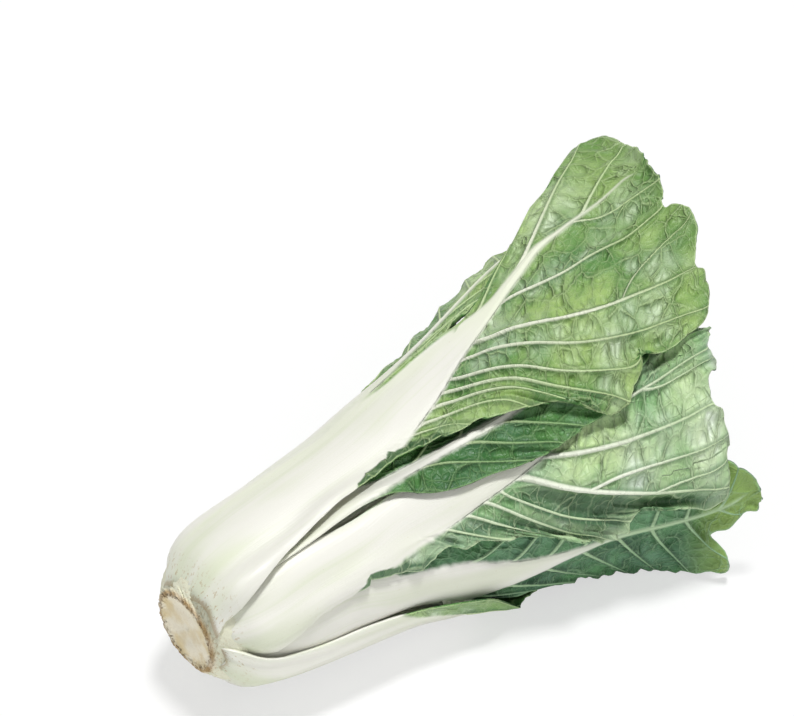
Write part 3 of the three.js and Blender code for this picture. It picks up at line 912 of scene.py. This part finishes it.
def upper_side(name, colours, seed):
    """The smoother and darker inner face of a leaf, and its cut-thin margin."""
    material, tree, shader = new_material(name)
    pattern = vein_pattern(tree, seed)
    mottle = leaf_noise(tree, seed)
    along, beyond, margin = stored_numbers(tree, "along", "beyond", "margin")
    patch = mottle(0.01, 0.01, 3.0, scale=4.0)
    streak = mottle(0.006, 0.35, 3.0, roughness=0.6)
    blade = layered(
        blend(between(patch, 0.35, 0.65), colours["deep"], colours["shade"]),
        (larger(pattern["rung"], pattern["loop"]) * 0.35, colours["vein"]),
        (pattern["ridge"] * 0.7, colours["vein"]))
    flesh = blend(between(streak, 0.42, 0.72) * 0.7, colours["flesh"], colours["tint"])
    is_blade = larger(between(beyond, -0.4, 1.6), between(margin, 8.0, 3.0) * between(along, 120.0, 140.0))
    feed(shader, "Base Color", blend(is_blade, flesh, blade))
    feed(shader, "Roughness", 0.3 + 0.2 * mottle(0.01, 0.01, 3.0, scale=9.0))
    feed_bumps(shader, mottle(0.9, 0.9, 3.0) * 0.15)
    return material


# %% Palettes
# The third colour is a pale waxy bloom that also serves as a painted sheen on the cushions. The last is a
# dark green that the upper side shows in patches and that the underside uses as painted shade in creases and
# folds.
def palette(light, shade, bloom_and_sheen, vein, rib, deep, **far):
    """The colours of one kind of leaf. All kinds share the colours of the stalk."""
    painted = {"light": light, "shade": shade, "bloom_and_sheen": bloom_and_sheen, "vein": vein, "rib": rib, "deep": deep,
               "flesh": (240, 239, 230), "tint": (218, 226, 194)}
    return {**{name: paint(*colour) for name, colour in painted.items()}, **far}


# some leaves turn another green far up: the places where that begins and ends, and its share
MID_GREEN = palette((168, 198, 118), (92, 142, 74), (224, 240, 212), (196, 220, 160), (240, 244, 222),
                    (48, 88, 50), far=paint(118, 154, 80), far_from=(254.0, 296.0, 0.4))
PALE_GREEN = palette((206, 230, 170), (140, 184, 128), (236, 246, 234), (206, 228, 182), (240, 245, 226),
                     (56, 98, 64))
BLUE_GREEN = palette((98, 154, 98), (34, 86, 50), (130, 174, 144), (150, 190, 144), (186, 214, 170),
                     (22, 54, 34), far=paint(146, 178, 92), far_from=(222.0, 242.0, 0.85))
DARK_GREEN = palette((94, 146, 76), (52, 104, 58), (134, 178, 138), (140, 178, 118), (204, 218, 172),
                     (30, 62, 32))
HEART_GREEN = palette((180, 196, 104), (146, 172, 80), (190, 206, 150), (212, 222, 160), (232, 236, 206),
                      (120, 150, 64))


# %% One finished leaf
def grow(name, plan, colours):
    """Builds, finishes and registers the leaf that stands for one CAD node."""
    leaf = make_leaf(name, plan)
    raise_veins(leaf, plan["seed"], plan.get("depth", 1.0))
    leaf.data.materials.append(underside(f"{name} underside", colours, plan["seed"]))
    leaf.data.materials.append(upper_side(f"{name} upper side", colours, plan["seed"]))
    thicken(leaf)
    leaf.data.validate()
    print(f"{leaf.name}: {sum(len(face.vertices) - 2 for face in leaf.data.polygons)} triangles")
    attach(leaf, "root")
    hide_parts(name)


# %% [markdown]
# ## The cut stem
# The stem is only a short disc that all the leaves grow from. Its cut face is slightly hollow, cream
# with tan stains, and its rim has dried to a ragged brown edge. Past the rim it widens into pale
# flesh that fills the gaps between the leaf bases. A circle could be extruded ring by ring, but a
# grid bent round the axis gives the same rings with their ragged edge in one step.

# %% Cut stem
# each ring as its place along the axis, its radius and how ragged it is, all in mm
BUTT_RINGS = [(1.3, 0.0, 0.0), (1.3, 4.0, 0.1), (1.15, 8.0, 0.2), (0.9, 11.5, 0.3), (0.6, 14.5, 0.35),
              (0.35, 16.6, 0.5), (0.0, 17.8, 0.7), (-0.1, 18.6, 0.8), (0.25, 19.3, 0.9), (0.3, 19.9, 0.9),
              (1.0, 20.5, 0.8), (1.9, 21.4, 0.6), (3.2, 23.0, 0.5), (5.0, 25.4, 0.4), (7.5, 28.0, 0.3),
              (10.5, 30.0, 0.3), (14.0, 31.0, 0.3), (18.0, 29.0, 0.2), (20.0, 22.0, 0.1), (20.5, 0.0, 0.0)]


def round_noise(angle, seed, counts):
    """Ups and downs round a circle, made of whole numbers of waves, between -1 and 1."""
    chance = np.random.default_rng(seed)
    return sum(np.sin(count * np.radians(angle) + chance.uniform(0, 7)) for count in counts) / len(counts)


def make_butt():
    """The closed mesh of the stem, with closer rings at its rim."""
    rings = np.array(BUTT_RINGS)
    length = lengths_up(rings[:, :2])
    at = np.sort(np.concatenate([np.linspace(0, length[-1], 70), np.linspace(15.5, 24, 30)]))
    x, radius, rough = (np.interp(at, length, column)[:, None] for column in rings.T)
    angle = np.linspace(0, 360, 217)[None, :]
    big = round_noise(angle, 4, (2, 3, 5))
    uneven = round_noise(angle + x * 9, 5, (17, 29, 41)) + 0.6 * round_noise(angle - x * 20, 6, (61, 83, 97))
    radius = radius * (1 + 0.025 * big) + rough * uneven
    ragged = 0.45 * rough * round_noise(angle + radius * 6, 7, (13, 23, 37))
    along = x + ragged + 0.25 * np.sin(radius * 0.5 + big)
    butt, _ = grid_mesh("stem_butt_fine", to_frame(along + 0.3, angle + 0 * along, np.maximum(radius, 0)))
    bpy.ops.object.mode_set(mode="EDIT")
    bpy.ops.mesh.select_all(action="SELECT")
    bpy.ops.mesh.remove_doubles(threshold=0.00001)
    bpy.ops.mesh.normals_make_consistent(inside=False)
    bpy.ops.object.mode_set(mode="OBJECT")
    bpy.ops.object.shade_smooth()
    print(f"{butt.name}: {len(butt.data.polygons)} faces")
    return butt


# %% Cut stem finish
def butt_finish():
    """Cream cut face with tan stains, brown ragged rim and pale flesh behind it."""
    material, tree, shader = new_material("cut stem")
    spot = node(tree, "ShaderNodeTexCoord", {}, {}, "Object")
    x, y, z = ((node(tree, "ShaderNodeSeparateXYZ", {}, {0: spot}, number) - middle) / MM
               for number, middle in enumerate((CUT_X, AXIS_Y, AXIS_Z)))
    radius = (y * y + z * z) ** 0.5
    at = place(tree, x, y, z)
    stain, fine, pith = noise(at, 0.11, 3.0), noise(at, 0.7, 3.0, 0.65), noise(at, 1.6, 3.0)
    past = radius + x * 0.9
    rim = between(radius + (fine - 0.5) * 8.0, 17.4, 19.2) * between(past, 24.0, 20.5)
    dried = between(fine, 0.52, 0.66) * between(x, 9.0, 2.0) * 0.6
    feed(shader, "Base Color", layered(
        blend(between(stain, 0.4, 0.66), paint(252, 244, 220), paint(234, 216, 170)),
        (between(fine, 0.5, 0.75) * 0.35, paint(196, 168, 118)),
        (between(radius, 15.5, 8.0) * 0.35, paint(238, 232, 214)),
        (rim * (0.5 + between(stain, 0.35, 0.6) * 0.4), paint(180, 148, 98)),
        (rim * between(fine, 0.55, 0.7) * 0.8, paint(112, 78, 44)),
        (between(past, 20.8, 24.5), blend(dried, paint(232, 232, 208), DRIED))))
    feed(shader, "Roughness", 0.55 + 0.3 * fine)
    feed_bumps(shader, pith * 0.25 + fine * 0.6 * rim)
    return material


butt = make_butt()
butt.data.materials.append(butt_finish())
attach(butt, "root")
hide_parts("stem_butt")

# %% [markdown]
# ## The two leaves on top
# These two show most. Both are seen from their underside. Their side veins are placed one by one, because the
# eye goes to them, and the big lobes and notches sit where those veins end. In every leaf's plan `spacing` is
# the distance between its rows, `sway` moves the midrib round the head and `flesh` is the half width of the
# stalk, all in mm. `swells` push the leaf out or in, `folds` crease it, with painted shade at the bottom of
# the deeper ones, and `strips` are ruffles beside a stalk that painted shade darkens.

# %% Top far leaf
MIDRIB = [(206, 3.6), (232, 2.2), (260, 0.8), (285, 0.3), (311, 0.1)]
grow("top_far_leaf", {
    "seed": 3, "spacing": 1.27, "tip": (308, 56),
    "sway": [(0, 0), (235, 0), (255, 6), (271, 12), (293, 21), (308, 29)],
    "margin_after": [(147, 110), (161, 114), (176, 118), (187, 121), (194, 126), (199, 131), (203, 134),
                     (208, 135), (213, 134), (220, 130), (226, 127), (230, 123), (231, 119), (233, 121),
                     (237, 124), (246, 125), (256, 124), (269, 122), (279, 115), (284, 108), (284, 102),
                     (291, 96), (298, 90), (300, 85), (298, 78), (295, 74), (302, 67), (308, 56)],
    "flesh": [(0, 45), (80, 30), (98, 24), (120, 22), (147, 18), (165, 12.5), (183, 8), *MIDRIB],
    "flesh_before": [(0, 45), (90, 28), (120, 20), (160, 14), (176, 11), (192, 6), *MIDRIB],
    "margin_before": [(259, 36), (269, 36), (282, 32), (292, 29), (301, 27), (308, 25), (313, 27), (315, 34),
                      (314, 41), (312, 50), (308, 56)],
    "before": [(196, 240, 42, 1, 0.4), (228, 313, 28, 0, 0.9), (268, 314, 42, 0, 0.5)],
    "after": [(122, 147, 110, 1, 0.7), (132, 174, 117, 1, 0.8), (142, 199, 131, 0.5, 0.8),
              (151, 214, 133, 0, 0.8), (159, 231, 119, 0, 0.9), (170, 274, 119, 0, 0.9),
              (181, 284, 104, 1, 1.5), (206, 295, 74, 0, 1.0), (262, 302, 67, 0, 0.5)],
    "forks_after": [(6, 0.62, 0.5)],
    # the strip's last number is how much painted shade darkens it
    "folds_after": [(1.5, 1.2, 2.5, 0.3, 0.8)], "strips_after": [(84, 142, 5, 1.0)],
    "swells": [(172, 46, 30, 11, 3.5), (310, -16, 16, 14, 11)],
    "vein": 1.0, "ruffle": 2.2, "ruffle_before": 0.3, "crumple": 1.8, "crumple_before": 0.1,
    "sag_before": 0.3, "sag_after": 2.0, "tooth": 0.9, "fine_tooth": 0.3,
    "bend": [(0, -0.08), (140, -0.08), (152, 0), (175, 0.1), (400, 0.1)],
}, MID_GREEN)

# %% Top near leaf
grow("top_near_leaf", {
    "seed": 5, "spacing": 1.2,
    "flesh": [(0, 30), (50, 22), (73, 14), (100, 13.5), (125, 12), (140, 9.8), (155, 8), (172, 5), (190, 3),
              (230, 1.6), (270, 0.6)],
    "flesh_before": [(0, 30), (50, 24), (92, 14), (125, 12.5), (150, 10), (172, 5.5), (190, 3), (230, 1.6),
                     (270, 0.6)],
    "before": [(160, 178, 112, 1), (185, 222, 95, 2), (205, 250, 88, 2), (225, 262, 98, 2)],
    "after": [(115, 140, 163, 1, 0.4), (127, 168, 172, 1, 0.5), (137, 187, 180, 1, 0.55),
              (146, 197, 174, 0, 0.45), (156, 243, 173, 0, 1.5), (171, 249, 147, 0, 1.1),
              (190, 265, 131, 0, 1.0)],
    "forks_after": [(4, 0.32, 0.45), (4, 0.66, 0.2), (6, 0.5, -0.3)],
    "folds_after": [(3.35, 0.52, -3.4, 0.0, 0.25), (1.2, 1.6, -1.9, 0.1, 0.4), (-0.3, 1.2, -1.2, 0.0, 0.2)],
    # mm of fold depth that gets the full painted shade in this leaf's folds
    "painted_shade": 2.0,
    # the ruffled strip beside the stalk is darkened fully by painted shade
    "strips_after": [(62, 108, 5, 1.0)],
    "margin_after": [(73, 152), (87, 156), (99, 160), (106, 156), (114, 154), (120, 159), (126, 158),
                     (136, 161), (150, 165), (168, 172), (187, 180), (194, 178), (198, 174), (203, 170),
                     (210, 172), (223, 175), (234, 179), (241, 177), (246, 169), (248, 163), (254, 163),
                     (253, 155), (252, 149), (249, 147), (253, 141), (258, 138), (262, 139), (267, 138),
                     (265, 132), (267, 128), (272, 126)],
    "vein": 1.1, "ruffle": 2.6, "crumple": 1.5, "swells": [(250, -12, 32, 18, -8)],
}, PALE_GREEN)

# %% [markdown]
# ## The other outer leaves
# Four more leaves wrap round the head below those two, and a narrow one shows in the gap between
# them. Less of each can be seen, so their side veins are spaced evenly.

# %% Leaves round the sides and below
OUTER = {
    "gap_leaf": ("inner_leaf", DARK_GREEN, {
        "seed": 8, "spacing": 1.4, "even": 7, "vein": 0.5, "ruffle": 1.5,
        "swells": [(250, -12, 30, 20, -4.5)],
        "sway": [(0, 0), (75, 0), (105, 4), (135, 5), (160, 4), (200, 1), (260, 0)],
        "flesh": [(0, 14), (60, 11), (90, 7), (110, 4.5), (140, 3), (170, 2.5), (250, 1)],
        "flesh_before": [(0, 14), (60, 10), (85, 4), (110, 2), (140, 1.5), (250, 1)]}),
    "near_side_leaf": ("lower_leaf", BLUE_GREEN, {
        "seed": 13, "spacing": 1.4, "even": 8, "vein": 0.6, "ruffle": 1.6, "crumple": 0.7, "lobe": 0.3,
        "tooth": 0.7, "fine_tooth": 0.15, "bulges_before": [(244, 156, 14, -9)], "tip": (260, 180),
        "margin_after": [(160, 216), (183, 217), (202, 216), (218, 212), (228, 207), (235, 204), (241, 204),
                         (240, 199), (240, 196), (238, 194), (236, 192), (238, 191), (245, 190), (250, 186),
                         (258, 184), (260, 180)],
        "swells": [(215, -38, 50, 16, -4), (165, -36, 30, 14, -2.5), (246, 34, 22, 18, 15)],
        "sway": [(0, 0), (60, 2), (85, 9), (120, 11), (150, 10), (170, 8), (200, 3), (260, 0)],
        "flesh": [(0, 32), (78, 26), (90, 17), (117, 16.5), (127, 15), (141, 11), (159, 6), (168, 3.6),
                  (185, 1.6), (215, 1), (258, 0.4)]}),
    "bottom_near_leaf": ("lower_leaf", MID_GREEN, {
        "seed": 21, "spacing": 1.6, "even": 7, "vein": 0.6, "ruffle": 1.0,
        "flesh": [(0, 42), (76, 36), (98, 26), (118, 18), (140, 9), (170, 5), (234, 1)]}),
    "far_side_leaf": ("lower_leaf", MID_GREEN, {
        "seed": 34, "spacing": 1.6, "even": 7, "vein": 0.25, "ruffle": 2.0,
        "swells": [(275, -5, 34, 40, -13), (222, 24, 30, 14, -3)],
        "flesh": [(0, 34), (90, 26), (105, 16), (125, 9), (145, 4), (175, 2), (230, 1.2), (292, 0.4)]}),
    "bottom_far_leaf": ("lower_leaf", BLUE_GREEN, {
        "seed": 55, "spacing": 1.8, "even": 7, "vein": 0.7, "ruffle": 1.5, "swells": [(195, -32, 32, 20, -5)],
        "flesh": [(0, 42), (90, 34), (105, 24), (130, 12), (170, 5), (200, 2), (270, 0.6)]}),
}
for name, (slot, colours, plan) in OUTER.items():
    grow(name, plan, colours)

# %% [markdown]
# ## The inner and heart leaves
# The middle of the head is full of smaller leaves, paler towards the heart. They can be seen only
# between the outer ones and from the leafy end, so they are made the same way with a coarser mesh.

# %% Inner leaves
for number, name in enumerate(("inner_leaf_far", "inner_leaf_near", "inner_leaf_top")):
    grow(name, {
        "seed": 60 + number, "spacing": 2.4, "even": 6, "vein": 0.5, "ruffle": 1.2, "depth": 0.7,
        "flesh": [(0, 18), (60, 16), (110, 11), (150, 4), (250, 1)]}, DARK_GREEN)
for number, name in enumerate(("heart_leaf_large", "heart_leaf_middle", "heart_leaf_small")):
    grow(name, {
        "seed": 70 + number, "spacing": 2.2, "even": 5, "vein": 0.3, "ruffle": 0.8, "depth": 0.5,
        "flesh": [(0, 12), (60, 10), (100, 5), (186, 1)]}, HEART_GREEN)

# %% [markdown]
# ## Floor, light and camera
# A white floor and an even white sky give the plain look of a studio table. A soft lamp from above
# rounds the stalks and lets the veins throw small shadows, and a weak and wide one from low down
# lifts the shade. The camera stands far off with a long lens, which keeps the leafy end from
# looking small.

# %% Floor
bpy.ops.object.select_all(action="DESELECT")
bpy.ops.mesh.primitive_plane_add(size=30, location=(0, 0, -0.0002))
floor = bpy.context.object
floor.name = "floor"
floor_material, floor_tree, floor_shader = new_material("white table")
floor_shader.inputs["Base Color"].default_value = (0.97, 0.97, 0.97, 1)
floor_shader.inputs["Roughness"].default_value = 0.9
floor_shader.inputs["Specular IOR Level"].default_value = 0.1
glow = node(floor_tree, "ShaderNodeEmission", {}, {"Color": (1, 1, 1, 1), "Strength": 1.0})
seen = node(floor_tree, "ShaderNodeLightPath", {}, {}, "Is Camera Ray") * 0.6
lit = Value(floor_tree, floor_shader.outputs[0])
surface = node(floor_tree, "ShaderNodeMixShader", {}, {0: seen, 1: lit, 2: glow})
floor_tree.links.new(surface.socket, floor_tree.nodes["Material Output"].inputs["Surface"])
floor.data.materials.append(floor_material)

# %% The direction that the head is seen from
TURN, LOOK_DOWN = np.radians(-38), np.radians(47)
forward = Vector((-np.sin(TURN) * np.cos(LOOK_DOWN), np.cos(TURN) * np.cos(LOOK_DOWN), -np.sin(LOOK_DOWN)))
right = forward.cross(Vector((0, 0, 1))).normalized()
up = right.cross(forward)
print("seen along", [round(value, 3) for value in forward])


# %% Light
def turned_to(direction):
    """Rotation of a lamp or camera that points along a direction."""
    return direction.to_track_quat("-Z", "Y").to_euler()


def add_lamp(name, shines_along, energy, angle):
    """A lamp with parallel light, which looks `angle` radians wide from the head."""
    bpy.ops.object.light_add(type="SUN", rotation=(0, 0, 0))
    lamp = bpy.context.object
    lamp.name = name
    lamp.rotation_euler = turned_to(shines_along)
    lamp.data.energy = energy
    lamp.data.angle = angle


world = bpy.data.worlds.new("white sky")
bpy.context.scene.world = world
world.use_nodes = True
sky = world.node_tree.nodes["Background"].inputs
sky["Color"].default_value = (1, 1, 1, 1)
sky["Strength"].default_value = 0.28
add_lamp("soft lamp", 0.66 * forward - 0.1 * right - 0.72 * up, 2.4, 0.2)
add_lamp("fill lamp", forward + 0.45 * up - 0.3 * right, 0.5, 1.0)

# %% Camera
DISTANCE = 3.0                     # m
looked_at = Vector((CUT_X, AXIS_Y, AXIS_Z)) + right * 0.096 + up * 0.124
bpy.ops.object.camera_add(location=looked_at - forward * DISTANCE)
camera = bpy.context.object
camera.rotation_euler = turned_to(forward)
camera.data.lens = 301
camera.data.sensor_width = 36
bpy.context.scene.camera = camera
bpy.context.scene.view_settings.view_transform = "Standard"
